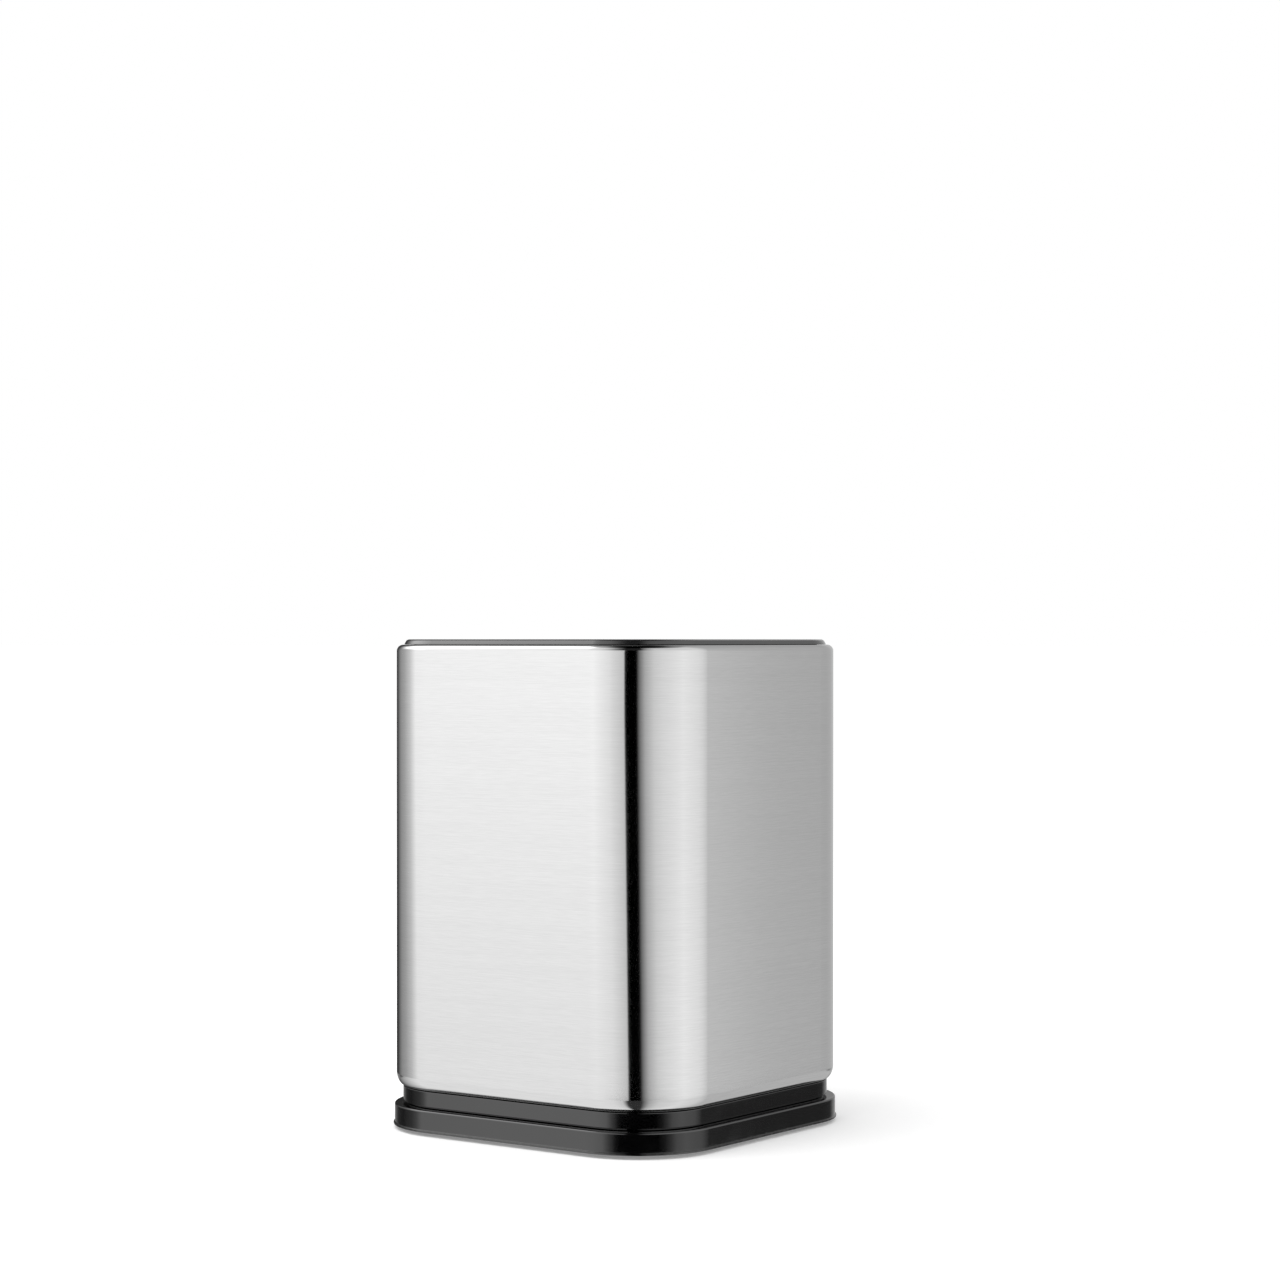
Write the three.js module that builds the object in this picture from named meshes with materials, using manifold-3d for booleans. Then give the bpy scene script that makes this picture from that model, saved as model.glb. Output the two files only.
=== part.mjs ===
// Square cutlery drainer: a brushed steel sleeve on a black collar, a slotted basket that lifts out of it,
// and a drip tray on soft feet that the holder lifts off.
import * as THREE from "three";
import { mergeVertices } from "three/addons/utils/BufferGeometryUtils.js";
import Module from "manifold-3d";

const wasm = await Module();
wasm.setup();

// Driving dimensions in millimetres, +Z up, origin on the table under the middle of the drainer.

// Steel sleeve
const sleeveWidth = 115; // across the flats, outside
const sleeveCorner = 26; // outside corner radius, seen from above
const sleeveHeight = 139.7;
const sheet = 0.6; // steel thickness
const topCurl = 2; // outside radius of the turned-in top edge
const topLip = 5; // how far the top edge reaches in from the outside face
const bottomCurl = 4.3; // outside radius of the turned-in bottom edge
const bottomLip = 6.5; // how far the bottom edge reaches in from the outside face

// Slotted basket
const rimInset = 2.4; // widest part of the rim, back from the sleeve's outside face
const rimThickness = 1.5;
const rimUndercut = 0.3; // how far the rim's foot stands back from its widest part
const rimBulge = 0.5; // height of the widest part above the foot
const rimShoulder = 0.3; // how far the rim leans in between its widest part and its shoulder
const rimCrown = 0.4; // height of the rounded top above the shoulder
const rimTurn = 1.1; // where the flat top starts, back from the widest part
const rimLeadIn = 0.9; // chamfer round the mouth
const basketWall = 1.8;
const basketFloor = 2;
const basketFoot = 3; // rounding where the walls meet the floor
const floorAboveTray = 7.2; // air under the basket, for the drained water
const slotWidth = 3.6;
const slotLength = 20;
const slotColumnPitch = 10.5;
const slotRowPitch = 26;
const slotMargin = 6; // bare floor kept round the slots, at least
const floorRib = 1.2; // stiffening ribs under the floor, between the slots
const floorRibDepth = 1.4;

// Base collar
const bandInset = 2.1; // band face, back from the sleeve's outside face
const bandHeight = 4.8;
const bandEdge = 0.4;
const shadowGap = 0.5; // open line under the band
const shoulderInset = 3.4; // hidden shoulder that carries the collar, back from the sleeve's outside face
const collarWall = 2;
const plugHeight = 8; // how far the collar reaches up inside the sleeve
const skirtDepth = 3.2; // how far the collar reaches down into the tray
const hookReach = 1.3;
const hookRise = 3;
const hookLength = 9;
const hooksPerSide = 2;
const hookPitch = 34;
const hookSlit = 1.2; // slits that let a hook flex

// Drip tray
const trayProud = 1; // lower edge, out from the sleeve's outside face
const trayDraft = 0.4; // how far the tray's side leans in over its height
const trayHeight = 7.1;
const trayEdge = 0.8; // rounding of the tray's upper edge
const trayToe = 0.4; // small outward lip at the foot of the tray
const trayToeHeight = 1;
const trayWall = 1.8;
const trayFloor = 1.8;
const trayFloorLift = 0.8; // underside of the floor above the tray's lower edge
const trayLedge = 5.3; // width of the rim that carries the collar, from the sleeve's outside face
const trayFillet = 2;
const gusset = 1.2; // ribs in the hollow rim
const gussetsPerSide = 3;

// Soft feet
const footRadius = 6.5;
const footProud = 0.8; // how far the feet stand out under the tray
const footEdge = 0.4;
const footInset = 24; // foot centre, in from the sleeve's outside face
const socketWall = 1.4;
const socketDepth = 0.6;

// Clearances
const seatGap = 0.2; // between faces that rest on each other
const slideGap = 0.5; // basket in the sleeve's mouth
const plugGap = 0.3; // collar in the sleeve's lower lip
const passGap = 1; // basket's foot in the collar
const skirtGap = 0.35; // collar in the tray

// Facets
const cornerSteps = 10;
const curlSteps = 5;
const slotSteps = 5;
const footSteps = 28;
const overrun = 1; // how far a cutter runs past what it cuts

// The drain slots fill the flat of the basket's floor
const basketMouthInset = topLip + slideGap;
const basketFootInset = bottomLip + plugGap + collarWall + passGap;
const flatFloor = sleeveWidth - 2 * (basketFootInset + basketWall + basketFoot);
const slotField = flatFloor - 2 * slotMargin;
const slotColumns = 1 + Math.floor((slotField - slotWidth) / slotColumnPitch);
const slotRows = 1 + Math.floor((slotField - slotLength) / slotRowPitch);

// Heights, from the table up
const trayBottom = footProud;
const trayTop = trayBottom + trayHeight;
const trayFloorBottom = trayBottom + trayFloorLift;
const trayFloorTop = trayFloorBottom + trayFloor;
const shoulderHeight = trayTop + seatGap;
const bandBottom = shoulderHeight + shadowGap;
const bandTop = bandBottom + bandHeight;
const sleeveBottom = bandTop + seatGap;
const sleeveTop = sleeveBottom + sleeveHeight;
const rimBottom = sleeveTop + seatGap;
const rimTop = rimBottom + rimThickness;
const basketBottom = trayFloorTop + floorAboveTray;

// Solids from meshes, and back
function toSolid(geometry) {
  const bare = geometry.index ? geometry.toNonIndexed() : geometry.clone();
  bare.deleteAttribute("normal");
  bare.deleteAttribute("uv");
  const merged = mergeVertices(bare, 1e-4);
  const vertProperties = new Float32Array(merged.attributes.position.array);
  const triVerts = new Uint32Array(merged.index.array);
  return new wasm.Manifold(new wasm.Mesh({ numProp: 3, vertProperties, triVerts }));
}

function toGeometry(solid) {
  const mesh = solid.getMesh();
  const geometry = new THREE.BufferGeometry();
  geometry.setAttribute("position", new THREE.BufferAttribute(mesh.vertProperties, 3));
  geometry.setIndex(new THREE.BufferAttribute(mesh.triVerts, 1));
  geometry.computeVertexNormals();
  return geometry;
}

// A level section: a rounded square that lies inset from the sleeve's outside face all round.
// Every section is a parallel offset of that face, so its corners keep one centre.
function section(inset, z) {
  const radius = Math.max(sleeveCorner - inset, 1);
  return { half: sleeveWidth / 2 - inset, radius, z };
}

function sectionPoints({ half, radius }) {
  const centre = half - radius;
  const points = [];
  for (let corner = 0; corner < 4; corner += 1) {
    const start = (corner * Math.PI) / 2;
    const x = Math.sign(Math.cos(start + Math.PI / 4)) * centre;
    const y = Math.sign(Math.sin(start + Math.PI / 4)) * centre;
    for (let step = 0; step <= cornerSteps; step += 1) {
      const angle = start + (step / cornerSteps) * (Math.PI / 2);
      points.push([x + radius * Math.cos(angle), y + radius * Math.sin(angle)]);
    }
  }
  return points;
}

// A closed solid lofted through level sections, from the lowest to the highest.
function loft(sections) {
  const positions = [];
  const faces = [];
  const around = 4 * (cornerSteps + 1);
  for (const level of sections) {
    for (const [x, y] of sectionPoints(level)) positions.push(x, y, level.z);
  }
  for (let level = 0; level < sections.length - 1; level += 1) {
    for (let i = 0; i < around; i += 1) {
      const a = level * around + i;
      const b = level * around + ((i + 1) % around);
      faces.push(a, b, b + around, a, b + around, a + around);
    }
  }
  const last = (sections.length - 1) * around;
  const bottomCentre = sections.length * around;
  positions.push(0, 0, sections[0].z, 0, 0, sections[sections.length - 1].z);
  for (let i = 0; i < around; i += 1) {
    const next = (i + 1) % around;
    faces.push(bottomCentre, next, i, bottomCentre + 1, last + i, last + next);
  }
  const geometry = new THREE.BufferGeometry();
  geometry.setAttribute("position", new THREE.Float32BufferAttribute(positions, 3));
  geometry.setIndex(faces);
  return toSolid(geometry);
}

// Sections round a quarter circle between two points of a wall's profile. The arc leaves along the first
// direction: "out" turns from level to upright, "in" turns from upright to level.
function quarterArc(inset, z, radius, turn) {
  const sections = [];
  for (let step = 0; step <= curlSteps; step += 1) {
    const angle = (step / curlSteps) * (Math.PI / 2);
    const across = turn === "out" ? 1 - Math.sin(angle) : 1 - Math.cos(angle);
    const up = turn === "out" ? 1 - Math.cos(angle) : Math.sin(angle);
    sections.push(section(inset + radius * across, z + radius * up));
  }
  return sections;
}

// Puts a copy of a solid at each corner or side of the square
function around(solid, count = 4) {
  return Array.from({ length: count }, (_, turn) => solid.rotate([0, 0, (turn * 360) / count]));
}

function joinAll(first, others) {
  return others.reduce((made, other) => made.add(other), first);
}

function cutAll(first, cutters) {
  return cutters.reduce((made, cutter) => made.subtract(cutter), first);
}

// Steel sleeve: an open tube with both edges turned in
function makeSleeve() {
  const outside = loft([
    ...quarterArc(0, sleeveBottom, bottomCurl, "out"),
    ...quarterArc(0, sleeveTop - topCurl, topCurl, "in"),
  ]);
  const inside = loft([
    section(bottomLip, sleeveBottom - overrun),
    section(bottomLip, sleeveBottom + sheet),
    ...quarterArc(sheet, sleeveBottom + sheet, bottomCurl - sheet, "out"),
    ...quarterArc(sheet, sleeveTop - topCurl, topCurl - sheet, "in"),
    section(topLip, sleeveTop - sheet),
    section(topLip, sleeveTop + overrun),
  ]);
  return outside.subtract(inside);
}

// One drain slot, a bar with round ends that runs along Y
function makeSlotCutter(x, y) {
  const end = (slotLength - slotWidth) / 2;
  const outline = new THREE.Shape();
  outline.absarc(0, end, slotWidth / 2, 0, Math.PI, false);
  outline.absarc(0, -end, slotWidth / 2, Math.PI, 2 * Math.PI, false);
  const depth = basketFloor + 2 * overrun;
  const bar = new THREE.ExtrudeGeometry(outline, { depth, bevelEnabled: false, curveSegments: slotSteps });
  return toSolid(bar).translate([x, y, basketBottom - overrun]);
}

// Places of a row that is spread evenly about the middle
function spread(count, pitch) {
  return Array.from({ length: count }, (_, i) => (i - (count - 1) / 2) * pitch);
}

// Ribs under the basket's floor, one in each gap between the slots
function makeFloorRibs() {
  const root = basketFloor / 2;
  const depth = floorRibDepth + root;
  const z = basketBottom + root - depth / 2;
  const alongX = (slotColumns - 1) * slotColumnPitch + slotWidth;
  const alongY = (slotRows - 1) * slotRowPitch + slotLength;
  const lengthwise = spread(slotColumns - 1, slotColumnPitch).map((x) =>
    toSolid(new THREE.BoxGeometry(floorRib, alongY, depth)).translate([x, 0, z]),
  );
  const crosswise = spread(slotRows - 1, slotRowPitch).map((y) =>
    toSolid(new THREE.BoxGeometry(alongX, floorRib, depth)).translate([0, y, z]),
  );
  return [...lengthwise, ...crosswise];
}

// Slotted basket: a tapered box that hangs on the sleeve's top lip by its rim
function makeBasket() {
  const mouth = basketMouthInset;
  const foot = basketFootInset;
  const outside = loft([
    ...quarterArc(foot, basketBottom, basketFoot, "out"),
    section(mouth, rimBottom),
    section(rimInset + rimUndercut, rimBottom),
    section(rimInset, rimBottom + rimBulge),
    section(rimInset + rimShoulder, rimTop - rimCrown),
    section(rimInset + rimTurn, rimTop),
  ]);
  const inside = loft([
    ...quarterArc(foot + basketWall, basketBottom + basketFloor, basketFoot, "out"),
    section(mouth + basketWall, rimTop - rimLeadIn),
    section(mouth + basketWall - rimLeadIn, rimTop),
    section(mouth + basketWall - rimLeadIn, rimTop + overrun),
  ]);
  const rows = spread(slotRows, slotRowPitch);
  const slots = spread(slotColumns, slotColumnPitch).flatMap((x) => rows.map((y) => makeSlotCutter(x, y)));
  return joinAll(cutAll(outside.subtract(inside), slots), makeFloorRibs());
}

// One snap hook on the collar's +X side, a wedge that catches over the sleeve's lower lip
function makeHook(plugHalf, catchHeight, y) {
  const root = collarWall / 2;
  const outline = new THREE.Shape();
  outline.moveTo(-root, 0);
  outline.lineTo(hookReach, 0);
  outline.lineTo(0, hookRise);
  outline.lineTo(-root, hookRise);
  const wedge = new THREE.ExtrudeGeometry(outline, { depth: hookLength, bevelEnabled: false });
  wedge.rotateX(Math.PI / 2);
  return toSolid(wedge).translate([plugHalf, y + hookLength / 2, catchHeight]);
}

// A slit in the collar's +X side, beside a hook
function makeSlit(plugHalf, y, bottom, top) {
  const slit = new THREE.BoxGeometry(collarWall + 2 * overrun, hookSlit, top - bottom);
  return toSolid(slit).translate([plugHalf - collarWall / 2, y, (bottom + top) / 2]);
}

// Base collar: a band under the sleeve, a plug that snaps into the sleeve, and a skirt that sits in the tray
function makeCollar() {
  const plug = bottomLip + plugGap;
  const skirt = trayLedge - trayProud + skirtGap;
  const plugTop = bandTop + plugHeight;
  const webBottom = bandTop - collarWall;
  const outside = loft([
    section(skirt, shoulderHeight - skirtDepth),
    section(skirt, shoulderHeight),
    section(shoulderInset, shoulderHeight),
    section(shoulderInset, bandBottom),
    section(bandInset, bandBottom),
    ...quarterArc(bandInset, bandTop - bandEdge, bandEdge, "in"),
    section(plug, bandTop),
    section(plug, plugTop),
  ]);
  const inside = loft([
    section(skirt + collarWall, shoulderHeight - skirtDepth - overrun),
    section(skirt + collarWall, webBottom),
    section(plug + collarWall, webBottom),
    section(plug + collarWall, plugTop + overrun),
  ]);
  const plugHalf = sleeveWidth / 2 - plug;
  const catchHeight = sleeveBottom + sheet + seatGap;
  const hooks = [];
  const slits = [];
  for (const y of spread(hooksPerSide, hookPitch)) {
    const slitOffset = (hookLength + hookSlit) / 2;
    hooks.push(...around(makeHook(plugHalf, catchHeight, y)));
    for (const side of [-1, 1]) {
      slits.push(...around(makeSlit(plugHalf, y + side * slitOffset, bandTop, plugTop + overrun)));
    }
  }
  return cutAll(joinAll(outside.subtract(inside), hooks), slits);
}

// Foot centres, one near each corner of the tray
const footPlaces = [
  { name: "foot_front_left", x: -1, y: -1 },
  { name: "foot_front_right", x: 1, y: -1 },
  { name: "foot_rear_right", x: 1, y: 1 },
  { name: "foot_rear_left", x: -1, y: 1 },
];
const footOffset = sleeveWidth / 2 - footInset;

function ringSolid(inner, outer, bottom, top) {
  const profile = [
    [inner, bottom],
    [outer, bottom],
    [outer, top],
    [inner, top],
    [inner, bottom],
  ];
  const points = profile.map(([radius, z]) => new THREE.Vector2(radius, z));
  const ring = new THREE.LatheGeometry(points, footSteps);
  ring.rotateX(Math.PI / 2);
  return toSolid(ring);
}

// Ribs across the tray's hollow rim, between its outer wall and the dish
function makeGussets() {
  const root = trayWall / 3;
  const inner = trayLedge - trayProud - trayWall + root;
  const outer = trayWall - trayProud - root;
  const bottom = trayFloorBottom + trayFillet / 2;
  const top = trayTop - trayWall + root;
  const straight = sleeveWidth - 2 * sleeveCorner;
  const x = sleeveWidth / 2 - (inner + outer) / 2;
  const rib = toSolid(new THREE.BoxGeometry(inner - outer, gusset, top - bottom));
  return spread(gussetsPerSide, straight / gussetsPerSide).flatMap((y) =>
    around(rib.translate([x, y, (bottom + top) / 2])),
  );
}

// Drip tray: a shallow dish with a hollow rim that carries the collar
function makeTray() {
  const ledge = trayLedge - trayProud;
  const upperEdge = trayDraft - trayProud;
  const outside = loft([
    section(-trayProud, trayBottom),
    section(-trayProud, trayBottom + trayToeHeight),
    section(-trayProud + trayToe, trayBottom + trayToeHeight + trayToe),
    ...quarterArc(upperEdge, trayTop - trayEdge, trayEdge, "in"),
  ]);
  const dish = loft([
    ...quarterArc(ledge, trayFloorTop, trayFillet, "out"),
    section(ledge, trayTop + overrun),
  ]);
  const rimHollow = loft([
    section(trayWall - trayProud, trayBottom - overrun),
    section(trayWall - trayProud + trayToe, trayTop - trayWall),
  ]);
  const dishBody = loft([
    ...quarterArc(ledge - trayWall, trayFloorBottom, trayFillet, "out"),
    section(ledge - trayWall, trayTop),
  ]);
  const shell = outside.subtract(rimHollow.subtract(dishBody)).subtract(dish);
  const sockets = footPlaces.map(({ x, y }) => {
    const inner = footRadius + seatGap;
    const ring = ringSolid(inner, inner + socketWall, trayFloorBottom - socketDepth, trayFloorBottom + seatGap);
    return ring.translate([x * footOffset, y * footOffset, 0]);
  });
  return joinAll(shell, [...makeGussets(), ...sockets]);
}

// Soft foot: a disc pressed into its socket under the tray
function makeFoot({ x, y }) {
  const top = trayFloorBottom - seatGap;
  const profile = [
    [0, 0],
    [footRadius - footEdge, 0],
    [footRadius, footEdge],
    [footRadius, top],
    [0, top],
  ];
  const points = profile.map(([radius, z]) => new THREE.Vector2(radius, z));
  const disc = new THREE.LatheGeometry(points, footSteps);
  disc.rotateX(Math.PI / 2);
  return toSolid(disc).translate([x * footOffset, y * footOffset, 0]);
}

// Finishes
const brushedSteel = new THREE.MeshStandardMaterial({ color: 0xc9c9c7, roughness: 0.34, metalness: 1 });
const satinPlastic = new THREE.MeshStandardMaterial({ color: 0x1d1d1e, roughness: 0.5, metalness: 0 });
const glossPlastic = new THREE.MeshStandardMaterial({ color: 0x0e0e0f, roughness: 0.2, metalness: 0 });
const softRubber = new THREE.MeshStandardMaterial({ color: 0x2a2a2b, roughness: 0.85, metalness: 0 });

function addPiece(parent, name, solid, material) {
  const mesh = new THREE.Mesh(toGeometry(solid), material);
  mesh.name = name;
  parent.add(mesh);
}

const tray = new THREE.Group();
addPiece(tray, "drip_tray", makeTray(), glossPlastic);
for (const place of footPlaces) addPiece(tray, place.name, makeFoot(place), softRubber);

const holder = new THREE.Group();
addPiece(holder, "base_collar", makeCollar(), glossPlastic);
addPiece(holder, "outer_sleeve", makeSleeve(), brushedSteel);

const basket = new THREE.Group();
addPiece(basket, "inner_basket", makeBasket(), satinPlastic);

const drainer = new THREE.Group();
drainer.add(tray, holder, basket);

export default drainer;
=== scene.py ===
# Square cutlery drainer: brushed steel sleeve, slotted basket, and a black collar that stands in a drip tray
import math
import bmesh
import bpy
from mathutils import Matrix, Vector


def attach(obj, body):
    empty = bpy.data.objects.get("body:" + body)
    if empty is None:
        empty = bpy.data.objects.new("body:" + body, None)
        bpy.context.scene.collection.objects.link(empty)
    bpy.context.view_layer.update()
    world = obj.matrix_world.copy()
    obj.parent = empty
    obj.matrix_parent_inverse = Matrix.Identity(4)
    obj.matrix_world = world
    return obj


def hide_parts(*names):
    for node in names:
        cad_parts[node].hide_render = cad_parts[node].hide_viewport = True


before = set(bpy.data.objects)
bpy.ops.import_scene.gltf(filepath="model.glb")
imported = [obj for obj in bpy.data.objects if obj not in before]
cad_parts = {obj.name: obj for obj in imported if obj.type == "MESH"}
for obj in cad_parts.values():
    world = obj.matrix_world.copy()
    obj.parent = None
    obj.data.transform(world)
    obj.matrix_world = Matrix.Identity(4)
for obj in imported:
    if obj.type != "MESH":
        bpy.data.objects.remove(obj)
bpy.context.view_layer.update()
scene = bpy.context.scene
scene.view_settings.view_transform = "Standard"
mm = 0.001  # piece sizes below are in millimetres
making = {
    "weldGap": 1e-6, "sliver": 1e-7, "seamGap": 2e-5,  # metres
    "sharpAngle": 34, "bendStep": 6,  # degrees
    "bendLeast": 4, "stadiumSteps": 24, "turnSteps": 48, "bevelSteps": 3,
    "spare": 1.0,  # how far a cutter or a rib runs past the face it meets
}


class Wire:  # a node's output that can stand in a sum
    def __init__(self, graph, socket):
        self.graph = graph
        self.socket = socket

    def math(self, operation, first, second=0.0):
        return self.graph.node("ShaderNodeMath", {"operation": operation}, {0: first, 1: second})

    def __add__(self, other):
        return self.math("ADD", self, other)

    def __radd__(self, other):
        return self.math("ADD", other, self)

    def __sub__(self, other):
        return self.math("SUBTRACT", self, other)

    def __rsub__(self, other):
        return self.math("SUBTRACT", other, self)

    def __mul__(self, other):
        return self.math("MULTIPLY", self, other)

    def __rmul__(self, other):
        return self.math("MULTIPLY", other, self)

    def __abs__(self):
        return self.math("ABSOLUTE", self)

    def step(self, low, high):  # eases from 0 at low to 1 at high
        settings = {"interpolation_type": "SMOOTHSTEP"}
        return self.graph.node("ShaderNodeMapRange", settings, {0: self, 1: low, 2: high})

    def output(self, name):
        return Wire(self.graph, self.socket.node.outputs[name])


class Graph:  # a node tree that is filled through one method
    def __init__(self, tree):
        self.tree = tree

    def node(self, kind, settings=None, sockets=None, out=0):
        made = self.tree.nodes.new(kind)
        for name, value in (settings or {}).items():
            setattr(made, name, value)
        for name, value in (sockets or {}).items():
            for wanted in value if isinstance(value, list) else [value]:
                if isinstance(wanted, Wire):
                    self.tree.links.new(wanted.socket, made.inputs[name])
                else:
                    made.inputs[name].default_value = wanted
        return Wire(self, made.outputs[out]) if len(made.outputs) else made


def wipe(thing):
    bpy.data.objects.remove(thing)


def settle(thing):  # keeps what the modifiers make as a plain mesh
    bpy.context.view_layer.update()
    seen = thing.evaluated_get(bpy.context.evaluated_depsgraph_get())
    made = bpy.data.meshes.new_from_object(seen)
    made.name = thing.name
    thing.modifiers.clear()
    thing.data = made


def weld(bm, mesh):  # closes the seams and turns every face outwards
    bmesh.ops.remove_doubles(bm, verts=bm.verts, dist=making["weldGap"])
    bmesh.ops.dissolve_degenerate(bm, edges=bm.edges, dist=making["sliver"])
    bmesh.ops.recalc_face_normals(bm, faces=bm.faces)
    bm.to_mesh(mesh)
    bm.free()


def weldMesh(mesh):
    bm = bmesh.new()
    bm.from_mesh(mesh)
    weld(bm, mesh)


def meshObject(name, build):  # a mesh object filled by a bmesh function
    mesh = bpy.data.meshes.new(name)
    bm = bmesh.new()
    build(bm)
    weld(bm, mesh)
    thing = bpy.data.objects.new(name, mesh)
    scene.collection.objects.link(thing)
    return thing


def combine(piece, tool, operation):
    join = piece.modifiers.new("combine", "BOOLEAN")
    join.operation = operation
    join.solver = "MANIFOLD"
    join.object = tool
    settle(piece)
    wipe(tool)


# Clean normals, a finish and a place in the frame; crease is the height of a pressed line that stays crisp
def fitPiece(piece, body, material, nodes, crease=None):
    weldMesh(piece.data)
    piece.data.materials.clear()
    piece.data.materials.append(material)
    for face in piece.data.polygons:
        face.material_index = 0
    piece.data.shade_smooth()
    piece.data.set_sharp_from_angle(angle=math.radians(making["sharpAngle"]))
    if crease:
        for edge in piece.data.edges:
            heights = [piece.data.vertices[i].co.z for i in edge.vertices]
            if all(abs(z - crease) < making["weldGap"] for z in heights):
                edge.use_edge_sharp = True
    even = piece.modifiers.new("even", "WEIGHTED_NORMAL")  # flats stay flat beside their fillets
    even.keep_sharp = True
    settle(piece)
    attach(piece, body)
    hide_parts(*nodes)
    print("piece:", piece.name, len(piece.data.polygons), "faces, rides on", body)


# Geometry node trees

def startTree(name, inputs):
    tree = bpy.data.node_groups.new(name, "GeometryNodeTree")
    for label, kind in inputs.items():
        tree.interface.new_socket(label, in_out="INPUT", socket_type="NodeSocket" + kind)
    tree.interface.new_socket("Mesh", in_out="OUTPUT", socket_type="NodeSocketGeometry")
    graph = Graph(tree)
    source = tree.nodes.new("NodeGroupInput")
    return graph, {label: Wire(graph, source.outputs[label]) for label in inputs}


def endTree(graph, shape, material):
    real = graph.node("GeometryNodeRealizeInstances", {}, {"Geometry": shape})
    coated = graph.node("GeometryNodeSetMaterial", {}, {"Geometry": real, "Material": material})
    graph.node("NodeGroupOutput", {}, {0: coated})
    return graph.tree


def grow(name, tree, values):
    thing = bpy.data.objects.new(name, bpy.data.meshes.new(name))
    scene.collection.objects.link(thing)
    modifier = thing.modifiers.new("grow", "NODES")
    modifier.node_group = tree
    for item in tree.interface.items_tree:
        if item.in_out == "INPUT":
            modifier[item.identifier] = values[item.name]
    settle(thing)
    weldMesh(thing.data)
    return thing


def shapeOf(graph, thing):
    settings = {"transform_space": "ORIGINAL"}
    return graph.node("GeometryNodeObjectInfo", settings, {"Object": thing}, "Geometry")


pathInputs = {"Width": "Float", "Corner": "Float", "Corner Steps": "Int", "Profile": "Object"}


def sweepWall(graph, sizes):  # a wall profile carried round a rounded square
    side = sizes["Width"]
    square = graph.node("GeometryNodeCurvePrimitiveQuadrilateral", {}, {"Width": side, "Height": side})
    corners = {"Curve": square, "Radius": sizes["Corner"], "Count": sizes["Corner Steps"]}
    path = graph.node("GeometryNodeFilletCurve", {"mode": "POLY"}, corners)
    sockets = {"Curve": path, "Profile Curve": shapeOf(graph, sizes["Profile"])}
    return path, graph.node("GeometryNodeCurveToMesh", {}, sockets)


def makeRingTree():  # the wall alone
    graph, sizes = startTree("wallRing", {**pathInputs, "Material": "Material"})
    path, wall = sweepWall(graph, sizes)
    return endTree(graph, wall, sizes["Material"])


def makeDishTree():  # a ring with the floor filled in between the two ends of its profile
    inputs = {**pathInputs, "Floor Top": "Float", "Floor Bottom": "Float", "Material": "Material"}
    graph, sizes = startTree("dish", inputs)
    path, wall = sweepWall(graph, sizes)
    floors = []
    for level in ("Floor Top", "Floor Bottom"):
        flat = graph.node("GeometryNodeFillCurve", {"mode": "NGONS"}, {"Curve": path})
        height = graph.node("ShaderNodeCombineXYZ", {}, {"Z": sizes[level]})
        floors.append(graph.node("GeometryNodeTransform", {}, {"Geometry": flat, "Translation": height}))
    whole = graph.node("GeometryNodeJoinGeometry", {}, {"Geometry": [wall, *floors]})
    sockets = {"Geometry": whole, "Distance": making["seamGap"]}
    return endTree(graph, graph.node("GeometryNodeMergeByDistance", {}, sockets), sizes["Material"])


def makeGridTree():  # one shape repeated in columns and rows, such as drain slots
    inputs = {"Columns": "Int", "Rows": "Int", "Column Pitch": "Float", "Row Pitch": "Float",
              "Shape": "Object", "Material": "Material"}
    graph, sizes = startTree("gridOfShapes", inputs)
    across = (sizes["Columns"] - 1) * sizes["Column Pitch"]
    along = (sizes["Rows"] - 1) * sizes["Row Pitch"]
    counts = {"Size X": across, "Size Y": along, "Vertices X": sizes["Columns"], "Vertices Y": sizes["Rows"]}
    grid = graph.node("GeometryNodeMeshGrid", {}, counts)
    sockets = {"Points": grid, "Instance": shapeOf(graph, sizes["Shape"])}
    return endTree(graph, graph.node("GeometryNodeInstanceOnPoints", {}, sockets), sizes["Material"])


def makeSidesTree():  # a row of one shape on each of the four sides
    inputs = {"Count": "Int", "Pitch": "Float", "Shape": "Object", "Material": "Material"}
    graph, sizes = startTree("rowOnEachSide", inputs)
    first = (sizes["Count"] - 1) * sizes["Pitch"] * -0.5
    start = graph.node("ShaderNodeCombineXYZ", {}, {"Y": first})
    offset = graph.node("ShaderNodeCombineXYZ", {}, {"Y": sizes["Pitch"]})
    places = {"Count": sizes["Count"], "Start Location": start, "Offset": offset}
    line = graph.node("GeometryNodeMeshLine", {"mode": "OFFSET"}, places)
    sockets = {"Points": line, "Instance": shapeOf(graph, sizes["Shape"])}
    row = graph.node("GeometryNodeInstanceOnPoints", {}, sockets)
    turn = graph.node("GeometryNodeInputIndex") * (math.pi / 2)
    facing = graph.node("ShaderNodeCombineXYZ", {}, {"Z": turn})
    sides = graph.node("GeometryNodePoints", {}, {"Count": 4})
    sockets = {"Points": sides, "Instance": row, "Rotation": facing}
    return endTree(graph, graph.node("GeometryNodeInstanceOnPoints", {}, sockets), sizes["Material"])


# Profiles: points are (inset from the sleeve's face, height, rounding)

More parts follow.
